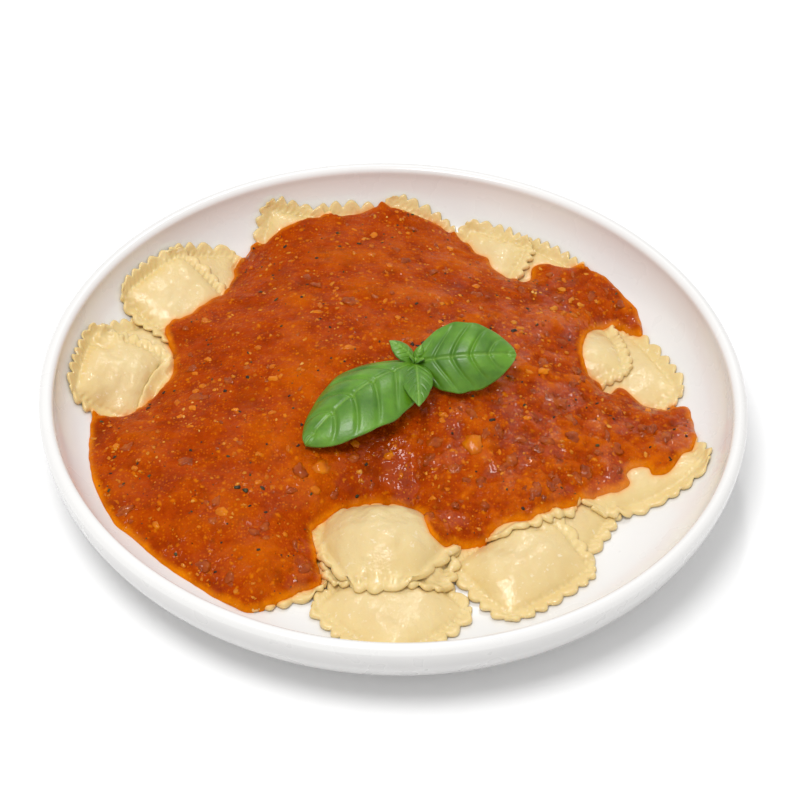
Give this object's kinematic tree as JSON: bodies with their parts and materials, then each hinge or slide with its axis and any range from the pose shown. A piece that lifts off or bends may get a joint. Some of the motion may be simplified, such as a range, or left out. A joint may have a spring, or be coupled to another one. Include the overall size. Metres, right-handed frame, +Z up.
{
  "type": "plate of ravioli",
  "caption": "Low round pasta plate of square fluted ravioli under meat and tomato sauce, with a basil sprig on top.",
  "frame": {"origin": "on the table, under the centre of the plate", "axes": "+Z up; the diner sits on the -Y side, +X is to the diner's right"},
  "size_m": [0.27, 0.27, 0.0505],
  "materials": {
    "glazed_ceramic": "glossy white ceramic glaze",
    "pasta": "cooked egg pasta, moist and satin",
    "tomato_sauce": "wet, lumpy meat and tomato sauce",
    "basil": "fresh green leaf, satin"
  },
  "bodies": {
    "root": {"plate": "glazed_ceramic", "raviolo_01": "pasta", "raviolo_02": "pasta", "raviolo_03": "pasta", "raviolo_04": "pasta", "raviolo_05": "pasta", "raviolo_06": "pasta", "raviolo_07": "pasta", "raviolo_08": "pasta", "raviolo_09": "pasta", "raviolo_10": "pasta", "raviolo_11": "pasta", "raviolo_12": "pasta", "raviolo_13": "pasta", "raviolo_14": "pasta", "raviolo_15": "pasta", "raviolo_16": "pasta", "raviolo_17": "pasta", "raviolo_18": "pasta", "raviolo_19": "pasta", "raviolo_20": "pasta", "sauce": "tomato_sauce", "basil_sprig": "basil"}
  },
  "joints": []
}
